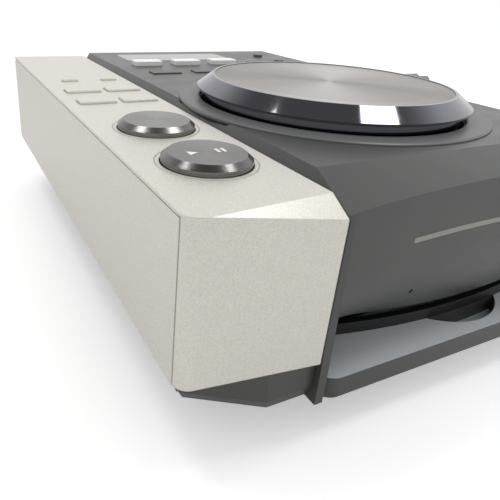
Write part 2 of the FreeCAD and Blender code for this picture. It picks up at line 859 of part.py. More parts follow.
def jack_block():
    """Housing behind the rear panel with its round sockets and a mini socket."""
    low, high = min(jack_places) - 10, control_x + 10
    shape = block((low, high), (back_face - wall - jack_depth, back_face - wall),
                  (fitting_z - 9, fitting_z + 9))
    shape = shape.fuse(block((low, high), (back_face - wall - jack_depth, back_face - wall - jack_depth + 4),
                             (board_top, fitting_z)))
    for x in jack_places + (control_x,):
        shape = shape.fuse(rod(x, (back_face - wall - 1, back_face + jack_collar), fitting_z,
                               jack_collar_radius))
    for x in jack_places:
        shape = shape.fuse(rod(x, (back_face - wall - 1, rear), fitting_z, jack_radius))
    for x in jack_places:
        shape = shape.cut(rod(x, (rear - 9, rear + 1), fitting_z, jack_radius - 1.0))
    for x in jack_places:
        shape = shape.fuse(rod(x, (rear - 9.5, rear - 2), fitting_z, 1.6))
    shape = shape.cut(rod(control_x, (back_face - mini_jack_depth, back_face + 2), fitting_z, mini_jack_radius))
    return shape.removeSplitter()


def mains_inlet():
    """Two-pin mains inlet with a rimmed mouth."""
    body = block(around(inlet_x, inlet_width), (back_face - inlet_depth, back_face + 1.0),
                 around(fitting_z, inlet_height))
    rim = block(around(inlet_x, inlet_width + 4), (back_face, back_face + 1.0),
                around(fitting_z, inlet_height + 4))
    mouth = block(around(inlet_x, inlet_width - 4), (back_face - inlet_depth + 3, back_face + 2),
                  around(fitting_z, inlet_height - 4))
    shape = body.fuse(rim).cut(mouth)
    for side in (-1, 1):
        shape = shape.fuse(rod(inlet_x + side * 4.0, (back_face - inlet_depth + 2, back_face - 3),
                               fitting_z, 1.2))
    return shape.removeSplitter()


def switch_frame():
    """Frame of the mains switch, with its pivot pins."""
    y_range = (back_face - switch_depth, back_face + 1.0)
    shape = block(around(switch_x, switch_width + 0.8), y_range, around(fitting_z, switch_height + 0.8))
    rim = block(around(switch_x, switch_width + 4), (back_face, back_face + 1.0),
                around(fitting_z, switch_height + 4))
    room = block(around(switch_x, switch_width - 2.0), (back_face - switch_depth + 2, back_face + 3),
                 around(fitting_z, switch_height - 2.0))
    shape = shape.fuse(rim).cut(room)
    pin = bar(around(switch_x, switch_width - 1.0), switch_pivot_y, fitting_z, switch_pin_radius)
    return shape.fuse(pin).removeSplitter()


def power_rocker():
    """Rocker of the mains switch, resting tipped to its off side."""
    half = (switch_height - 4.0) / 2
    rise = 3.2
    outline = [(-5.0, -half + 1.5), (-5.0, half - 1.5), (0.5, half), (rise, half), (rise - 1.6, 0),
               (rise, -half), (0.5, -half)]
    points = [(switch_pivot_y + y, fitting_z + z) for y, z in outline]
    shape = slab_along_x(points, around(switch_x, switch_width - 3.0))
    shape = shape.cut(bar(around(switch_x, switch_width + 5), switch_pivot_y, fitting_z,
                          switch_pin_radius + running_fit))
    shape.rotate(Vector(switch_x, switch_pivot_y, fitting_z), Vector(1, 0, 0), -switch_tilt)
    return shape


# Jog wheel

def jog_ring():
    """Flat ring round the jog wheel, let into the deck."""
    top = deck_top + ring_rise
    profile = [(ring_bore_radius + 0.6, deck_top - ring_seat), (ring_radius - 0.8, deck_top - ring_seat),
               (ring_radius, deck_top - 0.4), (ring_radius, top - 0.5), (ring_radius - 0.8, top),
               (ring_bore_radius + 1.2, top), (ring_bore_radius + 0.6, top - 0.6)]
    return turned(profile, jog_x, jog_y)


def jog_wheel():
    """Turned wheel: polished bevel, skirt in the well and a hub on the shaft."""
    plate_seat = height - jog_plate_thickness - 0.3
    web_low = jog_edge_height - 1.2
    skirt_radius = ring_bore_radius - jog_side_gap
    hub_low = jog_hub_bottom()
    profile = [(jog_shaft_radius, hub_low), (jog_hub_radius, hub_low), (jog_hub_radius, web_low),
               (skirt_radius - 2.0, web_low), (skirt_radius - 2.0, web_low - jog_skirt),
               (skirt_radius, web_low - jog_skirt), (skirt_radius, web_low),
               (jog_base_radius - 0.4, web_low), (jog_base_radius, jog_edge_height),
               (jog_top_radius, height), (jog_top_radius - jog_rim, height),
               (jog_top_radius - jog_rim, plate_seat), (jog_shaft_radius, plate_seat)]
    return turned(profile, jog_x, jog_y)


def jog_hub_bottom():
    return deck_top - jog_well_depth + bush_stand + 0.1


def jog_plate():
    """Spun metal plate set into the top of the jog wheel, dished slightly."""
    seat = height - jog_plate_thickness - 0.3
    edge = jog_top_radius - jog_rim - 0.1
    profile = [(0, seat), (edge, seat), (edge, height - 0.3), (edge - 8.0, height - 0.7), (0, height - 0.9)]
    return turned(profile, jog_x, jog_y)


def jog_shaft():
    """Steel shaft up to the jog plate, with the slotted encoder disc pressed on."""
    low = sensor_board_top() + 1.2
    shape = post(jog_x, jog_y, (low, height - jog_plate_thickness - 0.3), jog_shaft_radius)
    return shape.fuse(encoder_disc()).removeSplitter()


def sensor_board_top():
    return deck_top - jog_well_depth - wall - sensor_drop


def jog_bearing():
    """Flanged bush in the floor of the well."""
    floor = deck_top - jog_well_depth
    bore = jog_shaft_radius + running_fit
    profile = [(bore, floor - wall - 3.0), (bush_radius, floor - wall - 3.0), (bush_radius, floor),
               (bush_radius + 4.0, floor), (bush_radius + 4.0, floor + 2.0), (bush_radius - 1.0, floor + 2.0),
               (bush_radius - 1.0, floor + bush_stand), (bore, floor + bush_stand)]
    return turned(profile, jog_x, jog_y)


def encoder_disc():
    """Slotted disc on the jog shaft."""
    low = sensor_board_top() + 3.0
    profile = [(jog_shaft_radius, low), (encoder_radius, low), (encoder_radius, low + 1.0),
               (jog_shaft_radius + 3.0, low + 1.0), (jog_shaft_radius + 3.0, low + 4.0),
               (jog_shaft_radius, low + 4.0)]
    shape = turned(profile, jog_x, jog_y)
    for index in range(encoder_slots):
        slot = block((jog_x + encoder_radius - 4.0, jog_x + encoder_radius - 1.0),
                     around(jog_y, 1.2), (low - 1, low + 2))
        slot.rotate(Vector(jog_x, jog_y, 0), Vector(0, 0, 1), 360.0 * index / encoder_slots)
        shape = shape.cut(slot)
    return shape


def jog_board():
    """Sensor board under the well, with its optical fork."""
    top = sensor_board_top()
    size = 2 * (sensor_post_radius + post_radius)
    shape = block(around(jog_x, size), around(jog_y, size), (top - board_thickness, top))
    edge = jog_x + encoder_radius
    fork = block((edge - 5.0, edge + 3.0), around(jog_y, 6.0), (top - 0.1, top + 6.0))
    gap = block((edge - 6.0, edge + 0.6), around(jog_y, 8.0), (top + 2.4, top + 4.6))
    return shape.fuse(fork.cut(gap)).removeSplitter()


def floor_at(x, y):
    """Height just inside the floor, which steps down over the tray."""
    margin = tray_inset + wall + 3 * post_radius
    in_tray = (left + margin < x < right - margin) and (front + margin < y < back_face - margin)
    base = foot_height if in_tray else shelf_bottom
    return base + floor_thickness - 0.1


# Disc mechanism

def flange_x(side):
    """X limits of the chassis side wall on one side, -1 left or +1 right."""
    outer = dark_middle + side * mechanism_half_width
    return (outer - sheet, outer) if side < 0 else (outer - sheet, outer)


def mechanism_posts():
    inner = 6.0
    return [(dark_middle + side * (mechanism_half_width - inner), y) for side in (-1, 1)
            for y in (mechanism_front + inner, mechanism_rear - inner)]


def mech_chassis():
    """Folded chassis: floor with its window, side walls, rail with its tabs, and motor bracket."""
    x_range = (flange_x(-1)[0], flange_x(1)[1])
    y_range = (mechanism_front, mechanism_rear)
    plate = block(x_range, y_range, (plate_height, plate_height + sheet))
    window = block(around(dark_middle, sled_width - 6), (sled_front + 2, tab_rear - 4),
                   (plate_height - 1, plate_height + sheet + 1))
    shape = plate.cut(window)
    shape = shape.cut(post(dark_middle, turntable_y, (plate_height - 1, plate_height + sheet + 1),
                           spindle_motor_radius - 2.0))
    motor_window = block(around(dark_middle + sled_rail_offset, 2 * sled_motor_radius + 2),
                         (tab_rear + sheet, tab_rear + sheet + sled_motor_length + 1),
                         (plate_height - 1, plate_height + sheet + 1))
    shape = shape.cut(motor_window)
    for side in (-1, 1):
        shape = shape.fuse(block(flange_x(side), y_range, (plate_height, guide_height)))
    for side in (-1, 1):
        x = dark_middle + side * sled_rail_offset
        for y in (tab_front - sheet, tab_rear):
            tab = block(around(x, 9.0), (y, y + sheet), (plate_height, rail_z + tab_height / 2))
            shape = shape.fuse(tab)
            if side > 0:
                shape = shape.cut(rod(x, (y - 1, y + sheet + 1), rail_z, rod_radius + running_fit))
    rail = rod(dark_middle - sled_rail_offset, (tab_front - sheet - 1.0, tab_rear + sheet + 1.0), rail_z,
               rod_radius)
    shape = shape.fuse(rail)
    bracket_x = gear_x - bracket_gap
    shape = shape.fuse(block((bracket_x - sheet, flange_x(-1)[1]), around(pinion_y, 20.0),
                             (plate_height, plate_height + sheet)))
    shape = shape.fuse(block((bracket_x - sheet, bracket_x), around(pinion_y, 20.0),
                             (plate_height, pinion_z + loading_motor_radius + 1)))
    shape = shape.cut(bar((bracket_x - sheet - 1, bracket_x + 1), pinion_y, pinion_z,
                          motor_shaft_radius + 1.0))
    ends = (flange_x(-1)[0] - 1, flange_x(1)[1] + 1)
    shape = shape.cut(bar(ends, roller_y, roller_z, roller_shaft_radius + running_fit))
    shape = shape.fuse(bar((gear_x - 0.5, flange_x(-1)[1]), idler_y, idler_z, roller_shaft_radius))
    return shape.removeSplitter()


def roller_shaft():
    """Steel shaft of the feed roller, out to its gear."""
    return bar((gear_x, flange_x(1)[1] + 1.0), roller_y, roller_z, roller_shaft_radius)


def feed_roller():
    """Rubber feed roller, slightly slimmer in the middle so it grips a disc by its edges."""
    half = disc_diameter / 2 + 1
    waist = roller_radius - 0.5
    points = [(-half, roller_shaft_radius), (-half, roller_radius), (0, waist), (half, roller_radius),
              (half, roller_shaft_radius)]
    ring = [Vector(dark_middle + x, roller_y, roller_z + radius) for x, radius in points]
    face = Part.Face(Part.makePolygon(ring + ring[:1]))
    return face.revolve(Vector(dark_middle, roller_y, roller_z), Vector(1, 0, 0), 360)


def involute(angle):
    return math.tan(angle) - angle


def gear(teeth, centre_y, centre_z, phase, bore):
    """Spur gear in the plane of the train, with one tooth centred on its phase angle."""
    pitch = teeth * gear_module / 2
    pressure = math.radians(20)
    base = pitch * math.cos(pressure)
    tip = pitch + gear_module * 0.95
    root = pitch - gear_module * 1.25
    half = math.pi / (2 * teeth) - gear_backlash / (2 * pitch)
    flank = []
    for step in range(5):
        radius = max(base, root) + (tip - max(base, root)) * step / 4
        spread = half + involute(pressure) - involute(math.acos(min(1.0, base / radius)))
        flank.append((radius, spread))
    outline = []
    for tooth in range(teeth):
        middle = math.radians(phase) + 2 * math.pi * tooth / teeth
        rise = [(root, -flank[0][1])] + [(radius, -spread) for radius, spread in flank]
        fall = [(radius, spread) for radius, spread in reversed(flank)] + [(root, flank[0][1])]
        for radius, offset in rise + fall:
            outline.append((radius * math.cos(middle + offset), radius * math.sin(middle + offset)))
    ring = [Vector(gear_x, centre_y + y, centre_z + z) for y, z in outline]
    face = Part.Face(Part.makePolygon(ring + ring[:1]))
    shape = face.extrude(Vector(gear_width, 0, 0))
    return shape.cut(bar((gear_x - 1, gear_x + gear_width + 1), centre_y, centre_z, bore))


def gear_phases():
    """Phase of each gear so that the train is in mesh at rest."""
    roller = idler_rise_angle
    idler = idler_rise_angle + 180 + 180 / idler_teeth
    pitch_arc = math.pi * gear_module
    idler_radius = idler_teeth * gear_module / 2
    pinion_radius = pinion_teeth * gear_module / 2
    offset = math.radians(idler - pinion_drop_angle) * idler_radius
    pinion = pinion_drop_angle + 180 - math.degrees((offset + pitch_arc / 2) / pinion_radius)
    return roller, idler, pinion


def motor_pinion():
    """Pinion with the motor's shaft."""
    shape = gear(pinion_teeth, pinion_y, pinion_z, gear_phases()[2], motor_shaft_radius)
    return shape.fuse(bar((gear_x - bracket_gap - sheet - 6, gear_x + gear_width), pinion_y, pinion_z,
                          motor_shaft_radius)).removeSplitter()


def loading_motor():
    """Small motor held against the chassis bracket."""
    end = gear_x - bracket_gap - sheet
    shape = bar((end - loading_motor_length, end), pinion_y, pinion_z, loading_motor_radius)
    return shape.cut(bar((end - 8, end + 1), pinion_y, pinion_z, motor_shaft_radius + running_fit))


def spindle_motor():
    """Flat motor on the chassis floor, under the turntable."""
    low = plate_height + sheet
    high = slot_floor - 1.6 - turntable_thickness - 1.2
    profile = [(spindle_radius + running_fit, low - 2.5), (spindle_motor_radius - 2.1, low - 2.5),
               (spindle_motor_radius - 2.1, low), (spindle_motor_radius, low), (spindle_motor_radius, high),
               (spindle_radius + running_fit, high)]
    return turned(profile, dark_middle, turntable_y)


def turntable():
    """Disc seat with its centring hub, on the spindle."""
    seat = slot_floor - 1.6
    low = plate_height + sheet
    profile = [(0, low), (spindle_radius, low), (spindle_radius, seat - turntable_thickness),
               (turntable_radius, seat - turntable_thickness), (turntable_radius, seat),
               (hub_radius, seat), (hub_radius, seat + 0.8), (hub_radius - 1.8, seat + hub_rise),
               (0, seat + hub_rise)]
    return turned(profile, dark_middle, turntable_y)


def optical_sled():
    """Pickup carriage on its rail and screw, with the lens on top."""
    low, high = plate_height + sheet + 0.4, slot_floor - 1.6 - turntable_thickness - 0.6
    y_range = (sled_front, sled_front + sled_length)
    shape = block(around(dark_middle, sled_width), y_range, (low, high))
    for side in (-1, 1):
        x = dark_middle + side * sled_rail_offset
        inner = dark_middle + side * (sled_width / 2 - 1)
        outer = x + side * (rod_radius + 1.5)
        ear = block((min(inner, outer), max(inner, outer)), (sled_front + 6, sled_front + sled_length - 6),
                    (low, high))
        shape = shape.fuse(ear)
        shape = shape.cut(rod(x, (sled_front - 1, sled_front + sled_length + 1), rail_z,
                              rod_radius + running_fit))
    shape = shape.fuse(post(dark_middle, lens_y, (high - 0.1, high + 1.2), lens_radius))
    return shape.removeSplitter()


def lead_screw():
    """Screw that drives the sled, out of its motor."""
    return rod(dark_middle + sled_rail_offset, (tab_front - sheet - 1.0, tab_rear + sheet + 8.0), rail_z,
               rod_radius)


def sled_motor():
    """Sled motor on the rear tab."""
    x = dark_middle + sled_rail_offset
    y = tab_rear + sheet
    shape = rod(x, (y, y + sled_motor_length), rail_z, sled_motor_radius)
    return shape.cut(rod(x, (y - 1, y + 9.0), rail_z, rod_radius + running_fit))


def clamp_pivot_y():
    return mechanism_rear - 8.0


def disc_guide():
    """Upper guide plate over the disc, with the ears and pin of the clamp arm."""
    z_range = (guide_height, guide_height + sheet)
    shape = block((flange_x(-1)[0], flange_x(1)[1]), (mechanism_front, mechanism_rear), z_range)
    cut_range = (guide_height - 1, guide_height + sheet + 1)
    shape = shape.cut(post(dark_middle, turntable_y, cut_range, clamper_radius + 3.0))
    shape = shape.cut(block(around(dark_middle, clamp_arm_width + 3), (turntable_y, clamp_pivot_y() - 8),
                            cut_range))
    for side in (-1, 1):
        x = dark_middle + side * clamp_ear_spacing / 2
        ear = block(around(x, clamp_ear), around(clamp_pivot_y(), 8.0),
                    (guide_height, clamp_height + clamp_pin_radius + 2))
        shape = shape.fuse(ear)
    pin_reach = clamp_ear_spacing + clamp_ear
    shape = shape.fuse(bar(around(dark_middle, pin_reach), clamp_pivot_y(), clamp_height, clamp_pin_radius))
    return shape.removeSplitter()


def clamp_arm():
    """Arm that lowers the clamper onto the disc."""
    inner = clamp_ear_spacing - clamp_ear - 1.0
    barrel = bar(around(dark_middle, inner), clamp_pivot_y(), clamp_height, clamp_pin_radius + 1.8)
    plate = pad(around(dark_middle, clamp_arm_width), (turntable_y - 10, clamp_pivot_y()),
                (clamp_height - 0.8, clamp_height + 0.8), 4.0)
    shape = barrel.fuse(plate)
    shape = shape.cut(bar(around(dark_middle, inner + 4), clamp_pivot_y(), clamp_height,
                          clamp_pin_radius + running_fit))
    return shape.cut(post(dark_middle, turntable_y, (clamp_height - 5, clamp_height + 5),
                          clamper_neck_radius + 0.5)).removeSplitter()


def clamper():
    """Puck that holds the disc on the turntable, hollow for the hub and hung in the arm by its cap."""
    low = guide_height + 0.2
    cap = clamp_height + 0.9
    top = low + hub_rise + 1.8
    profile = [(0, low + hub_rise + 0.4), (hub_radius + 1.2, low + hub_rise + 0.4), (hub_radius + 1.2, low),
               (clamper_radius - 1, low), (clamper_radius, low + 1), (clamper_radius, top),
               (clamper_neck_radius, top), (clamper_neck_radius, cap), (clamper_cap_radius, cap),
               (clamper_cap_radius, cap + 1.2), (0, cap + 1.2)]
    return turned(profile, dark_middle, turntable_y)


# Fader, window and boards

def tempo_fader():
    """Body of the tempo fader under the deck, open along its slot."""
    high = deck_top - wall
    shape = block(around(fader_x, fader_body_width), around(fader_y, fader_travel + 2 * fader_end),
                  (high - fader_body_depth, high))
    return shape.cut(block(around(fader_x, fader_slot), around(fader_y, fader_travel + fader_slot + 3),
                           (high - 7, high + 1)))


def tempo_knob():
    """Ribbed fader cap on its lever."""
    low, high = deck_top + knob_lift, deck_top + knob_rise
    half = knob_length / 2
    section = [(-half, low), (-half, high - 1.5), (-half + 2, high), (-1.2, high - 1.2), (1.2, high - 1.2),
               (half - 2, high), (half, high - 1.5), (half, low)]
    points = [(fader_y + y, z) for y, z in section]
    shape = slab_along_x(points, around(fader_x, knob_width))
    lever = block(around(fader_x, 1.6), around(fader_y, 4.0), (deck_top - wall - 6.0, low + 0.1))
    return shape.fuse(lever).removeSplitter()


def display_window():
    """Clear window flush in the deck."""
    return pad(around(window_x, window_width), around(window_y, window_depth),
               (deck_top - wall, deck_top), window_corner)


def main_board_x():
    return (dark_left + board_side_gap, right - base_inset - wall - board_side_gap)


def main_board_y():
    return (mechanism_rear + 2, back_face - wall - 1)


def main_board_posts():
    x_low, x_high = main_board_x()
    y_low, y_high = main_board_y()
    inner = 2 * post_radius
    return [(x, y) for x in (x_low + inner, x_high - inner) for y in (y_low + inner, y_high - inner)]


def main_board():
    """Main circuit board with its large parts."""
    shape = block(main_board_x(), main_board_y(), (board_height, board_top))
    x_low, x_high = main_board_x()
    y_low, y_high = main_board_y()
    pitch = (x_high - x_low) / (len(chip_sizes) + 1)
    chip_y = y_low + (y_high - y_low) / 3
    part_y = y_low + (y_high - y_low) * 2 / 3
    for step, size in enumerate(chip_sizes, 1):
        chip = block(around(x_low + pitch * step, size), around(chip_y, size), (board_top - 0.1, board_top + 2))
        shape = shape.fuse(chip)
    for step in (1, 2, 3):
        shape = shape.fuse(post(x_low + pitch * step, part_y, (board_top - 0.1, board_top + board_part_height),
                                2 * board_thickness))
    return shape.removeSplitter()


def power_board_x():
    return (left + base_inset + wall + 3, silver_right - 2)


def power_board_y():
    return (20.0, back_face - wall - inlet_depth - 2)


def power_board_posts():
    x_low, x_high = power_board_x()
    y_low, y_high = power_board_y()
    inner = 2 * post_radius
    return [(x, y) for x in (x_low + inner, x_high - inner) for y in (y_low + inner, y_high - inner)]


def power_board():
    """Power supply board with its transformer, heat sink and capacitors."""
    x_range, y_range = power_board_x(), power_board_y()
    shape = block(x_range, y_range, (board_height, board_top))
    x, y = (x_range[0] + x_range[1]) / 2, y_range[0]
    shape = shape.fuse(block(around(x, 30.0), (y + 55, y + 90), (board_top - 0.1, board_top + 26)))
    shape = shape.fuse(post(x - 8, y + 40, (board_top - 0.1, board_top + 22), 8.0))
    shape = shape.fuse(post(x + 10, y + 40, (board_top - 0.1, board_top + 16), 5.0))
    for step in range(5):
        fin_y = y + 8 + 4.0 * step
        shape = shape.fuse(block(around(x, 28.0), (fin_y, fin_y + 1.2), (board_top - 0.1, board_top + 20)))
    shape = shape.fuse(block(around(x, 28.0), (y + 8, y + 25.2), (board_top - 0.1, board_top + 2)))
    return shape.removeSplitter()


save("base_pan", base_pan())
save("silver_panel", silver_panel())
save("side_plate", side_plate())
save("top_case", top_case())
save("light_strip", light_strip())
save("slot_sill", slot_sill())
save("rear_panel", rear_panel())
save("display_window", display_window())
for number, place in enumerate(foot_places(), 1):
    save("foot_" + str(number), foot(*place))
save("jog_ring", jog_ring())
save("jog_wheel", jog_wheel())
save("jog_plate", jog_plate())
save("jog_shaft", jog_shaft())
save("jog_bearing", jog_bearing())
save("jog_board", jog_board())
save("play_button", round_button(play_y))
save("cue_button", round_button(cue_y))
for name, spot in strip_keys.items():
    save(name, key_cap(spot, silver_top))
for name, spot in deck_keys.items():
    save(name, key_cap(spot, deck_top))
for name, place in side_buttons.items():
    save(name, side_button(*place))
save("strip_board", strip_board())
save("deck_board", deck_board())
save("tempo_knob", tempo_knob())
save("tempo_fader", tempo_fader())
save("mech_chassis", mech_chassis())
save("disc_guide", disc_guide())
save("feed_roller", feed_roller())
save("roller_shaft", roller_shaft())
save("roller_gear", gear(roller_teeth, roller_y, roller_z, gear_phases()[0], roller_shaft_radius))
save("idler_gear", gear(idler_teeth, idler_y, idler_z, gear_phases()[1], roller_shaft_radius + running_fit))
save("motor_pinion", motor_pinion())
save("loading_motor", loading_motor())
save("spindle_motor", spindle_motor())
save("turntable", turntable())
save("clamp_arm", clamp_arm())
save("clamper", clamper())
save("optical_sled", optical_sled())
save("lead_screw", lead_screw())
save("sled_motor", sled_motor())
save("main_board", main_board())
save("power_board", power_board())
save("jack_block", jack_block())
save("mains_inlet", mains_inlet())
save("switch_frame", switch_frame())
save("power_rocker", power_rocker())
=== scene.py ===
import bpy
import bmesh
import json
import math
from mathutils import Matrix, Vector


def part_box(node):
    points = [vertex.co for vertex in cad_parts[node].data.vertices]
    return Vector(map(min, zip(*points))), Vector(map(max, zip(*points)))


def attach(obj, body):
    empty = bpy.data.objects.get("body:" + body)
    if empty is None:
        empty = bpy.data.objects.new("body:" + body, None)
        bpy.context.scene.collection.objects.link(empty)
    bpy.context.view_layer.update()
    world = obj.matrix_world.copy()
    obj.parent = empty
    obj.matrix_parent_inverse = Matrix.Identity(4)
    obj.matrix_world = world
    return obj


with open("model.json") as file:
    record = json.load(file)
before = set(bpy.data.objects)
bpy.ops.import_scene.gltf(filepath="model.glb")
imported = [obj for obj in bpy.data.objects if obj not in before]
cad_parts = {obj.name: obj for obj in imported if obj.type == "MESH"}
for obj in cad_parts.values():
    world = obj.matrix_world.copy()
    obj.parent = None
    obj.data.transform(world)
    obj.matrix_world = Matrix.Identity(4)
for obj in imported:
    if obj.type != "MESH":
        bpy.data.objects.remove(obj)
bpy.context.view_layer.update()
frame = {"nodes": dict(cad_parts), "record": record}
nodes = frame["nodes"]

# Camera fitted to the photograph: degrees, metres, and pixels of a 500 pixel frame
CAMERA_TURN, CAMERA_TILT, CAMERA_ROLL = 26.34, 24.07, 3.01
CAMERA_PLACE = (-0.16182, -0.24617, 0.14931)
FOCAL_PIXELS = 503.32
CENTRE_PIXEL = (181.94, 206.63)
FRAME_PIXELS = 500
SENSOR_WIDTH = 36.0

# Studio light: the world's level on rough surfaces, and its level overhead in gloss
DIFFUSE_LEVEL = 0.72
OVERHEAD_LEVEL = 0.22
FLOOR_GLOW = 0.38
LAMP_AIM_HEIGHT = 0.08
# Lamps: name, direction, distance, side length, radiance
LAMPS = (
    ("lamp_right", (0.405, -0.167, 0.899), 0.9, 0.26, 8.0),
    ("lamp_left", (-0.37, 0.198, 0.909), 0.9, 0.24, 8.0),
)

mm = 0.001

# Rear sockets: piece name, place from the socket block's low end, ring colour. They
# stand SOCKET_DROP below the middle of the rear panel. Known fault: the third socket is
# at 60.0, so socket_3 stands 5.6 mm beside it.
SOCKETS = (
    ("socket_1", 10.0 * mm, "white_ring"),
    ("socket_2", 30.0 * mm, "red_ring"),
    ("socket_3", 54.4 * mm, "amber_ring"),
)
SOCKET_DROP = 3.95 * mm
SHELL_LENGTH = 7.4 * mm
SHELL_BORE = 3.1 * mm
SHELL_RADIUS = 4.2 * mm
PIN_RADIUS = 1.55 * mm

# Screws in the rear panel and under the base: columns and rows in metres, radius in millimetres
PANEL_COLUMNS, PANEL_ROWS, PANEL_SCREW = (-0.0985, -0.045, 0.0905), (0.040, 0.086), 2.6
BASE_COLUMNS, BASE_ROWS, BASE_SCREW = (-0.045, 0.045), (-0.09, 0.085), 3.0

# Printed marks stand this far into and out of what they are on
MARK_SUNK, MARK_PROUD = 0.05 * mm, 0.04 * mm
TEMPO_TRAVEL = 30 * mm
TEMPO_STEPS = 8
LONG_MARK, SHORT_MARK = 2.6 * mm, 1.5 * mm

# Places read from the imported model, in metres
casing_low, casing_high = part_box("silver_panel")
deck_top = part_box("display_window")[1].z
panel_low, panel_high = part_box("rear_panel")
back_face = panel_high.y
sill_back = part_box("slot_sill")[1].y


# Camera

def place_camera():
    turn, tilt, roll = math.radians(CAMERA_TURN), math.radians(CAMERA_TILT), math.radians(CAMERA_ROLL)
    ahead = Vector((math.sin(turn) * math.cos(tilt), math.cos(turn) * math.cos(tilt), -math.sin(tilt)))
    level = Vector((math.cos(turn), -math.sin(turn), 0))
    over = level.cross(ahead)
    right = math.cos(roll) * level + math.sin(roll) * over
    up = -math.sin(roll) * level + math.cos(roll) * over
    data = bpy.data.cameras.new("camera")
    camera = bpy.data.objects.new("camera", data)
    bpy.context.scene.collection.objects.link(camera)
    rotation = Matrix((right, up, -ahead)).transposed()
    camera.matrix_world = Matrix.Translation(CAMERA_PLACE) @ rotation.to_4x4()
    data.sensor_width = SENSOR_WIDTH
    data.lens = FOCAL_PIXELS / FRAME_PIXELS * SENSOR_WIDTH
    data.shift_x = (FRAME_PIXELS / 2 - CENTRE_PIXEL[0]) / FRAME_PIXELS
    data.shift_y = (CENTRE_PIXEL[1] - FRAME_PIXELS / 2) / FRAME_PIXELS
    data.clip_start = 0.01
    bpy.context.scene.camera = camera


# Materials

def linear(red, green, blue):
    """Linear colour from sRGB bytes."""
    def one(value):
        value /= 255
        return value / 12.92 if value <= 0.04045 else ((value + 0.055) / 1.055) ** 2.4
    return (one(red), one(green), one(blue), 1.0)


def scaled(colour, factor):
    return (colour[0] * factor, colour[1] * factor, colour[2] * factor, 1.0)


class Look:
    """A node material built up step by step. Texture scales are features per metre."""

    def __init__(self, name, colour, roughness, metallic=0.0):
        self.material = bpy.data.materials.new(name)
        self.material.use_nodes = True
        self.tree = self.material.node_tree
        self.shader = self.tree.nodes["Principled BSDF"]
        self.shader.inputs["Base Color"].default_value = colour
        self.shader.inputs["Roughness"].default_value = roughness
        self.shader.inputs["Metallic"].default_value = metallic
        self.colour = colour
        self.place = self.add("ShaderNodeTexCoord").outputs["Object"]
        self.normal = None

    def add(self, kind, **values):
        node = self.tree.nodes.new(kind)
        for name, value in values.items():
            setattr(node, name, value)
        return node

    def link(self, source, target):
        self.tree.links.new(source, target)

    def noise(self, scale, detail=2.0, stretch=(1, 1, 1)):
        mapping = self.add("ShaderNodeMapping")
        mapping.inputs["Scale"].default_value = stretch
        self.link(self.place, mapping.inputs["Vector"])
        texture = self.add("ShaderNodeTexNoise")
        texture.inputs["Scale"].default_value = scale
        texture.inputs["Detail"].default_value = detail
        self.link(mapping.outputs["Vector"], texture.inputs["Vector"])
        return texture.outputs["Fac"]

    def cells(self, scale):
        texture = self.add("ShaderNodeTexVoronoi")
        texture.inputs["Scale"].default_value = scale
        self.link(self.place, texture.inputs["Vector"])
        return texture.outputs["Color"]

    def spread(self, source, low, high, from_low=0.3, from_high=0.7):
        ranged = self.add("ShaderNodeMapRange")
        ranged.inputs["From Min"].default_value = from_low
        ranged.inputs["From Max"].default_value = from_high
        ranged.inputs["To Min"].default_value = low
        ranged.inputs["To Max"].default_value = high
        self.link(source, ranged.inputs["Value"])
        return ranged.outputs["Result"]

    def tint(self, source, low, high, from_low=0.3, from_high=0.7):
        """Vary the base colour between two shades."""
        ramp = self.add("ShaderNodeValToRGB")
        ramp.color_ramp.elements[0].position = from_low
        ramp.color_ramp.elements[1].position = from_high
        ramp.color_ramp.elements[0].color = scaled(self.colour, low)
        ramp.color_ramp.elements[1].color = scaled(self.colour, high)
        self.link(source, ramp.inputs["Fac"])
        self.link(ramp.outputs["Color"], self.shader.inputs["Base Color"])
        return self

    def rub(self, source, low, high, from_low=0.3, from_high=0.7):
        """Vary the roughness."""
        self.link(self.spread(source, low, high, from_low, from_high), self.shader.inputs["Roughness"])
        return self

    def edge(self, radius):
        """Rounded look for sharp moulded edges."""
        bevel = self.add("ShaderNodeBevel", samples=4)
        bevel.inputs["Radius"].default_value = radius
        self.normal = bevel.outputs["Normal"]
        self.link(self.normal, self.shader.inputs["Normal"])
        return self

    def bump(self, source, height, strength=1.0):
        node = self.add("ShaderNodeBump")
        node.inputs["Strength"].default_value = strength
        node.inputs["Distance"].default_value = height
        self.link(source, node.inputs["Height"])
        if self.normal is not None:
            self.link(self.normal, node.inputs["Normal"])
        self.normal = node.outputs["Normal"]
        self.link(self.normal, self.shader.inputs["Normal"])
        return self

    def set(self, name, value):
        self.shader.inputs[name].default_value = value
        return self


def rings(look, centre, pitch):
    """Concentric lines about an upright axis."""
    shift = look.add("ShaderNodeMapping")
    shift.inputs["Location"].default_value = (-centre[0], -centre[1], 0)
    look.link(look.place, shift.inputs["Vector"])
    flat = look.add("ShaderNodeVectorMath", operation="MULTIPLY")
    flat.inputs[1].default_value = (1, 1, 0)
    look.link(shift.outputs["Vector"], flat.inputs[0])
    length = look.add("ShaderNodeVectorMath", operation="LENGTH")
    look.link(flat.outputs["Vector"], length.inputs[0])
    texture = look.add("ShaderNodeTexNoise", noise_dimensions="1D")
    texture.inputs["Scale"].default_value = 1.0 / pitch
    texture.inputs["Detail"].default_value = 3.0
    look.link(length.outputs["Value"], texture.inputs["W"])
    return texture.outputs["Fac"]


def spun(look, centre, pitch, height, pull):
    """Turned metal: rings, and a highlight drawn across them."""
    lines = rings(look, centre, pitch)
    look.tint(lines, 0.86, 1.1)
    look.bump(lines, height, 0.5)
    look.set("Anisotropic", pull)
    tangent = look.add("ShaderNodeTangent", direction_type="RADIAL", axis="Z")
    look.link(tangent.outputs["Tangent"], look.shader.inputs["Tangent"])
    return look


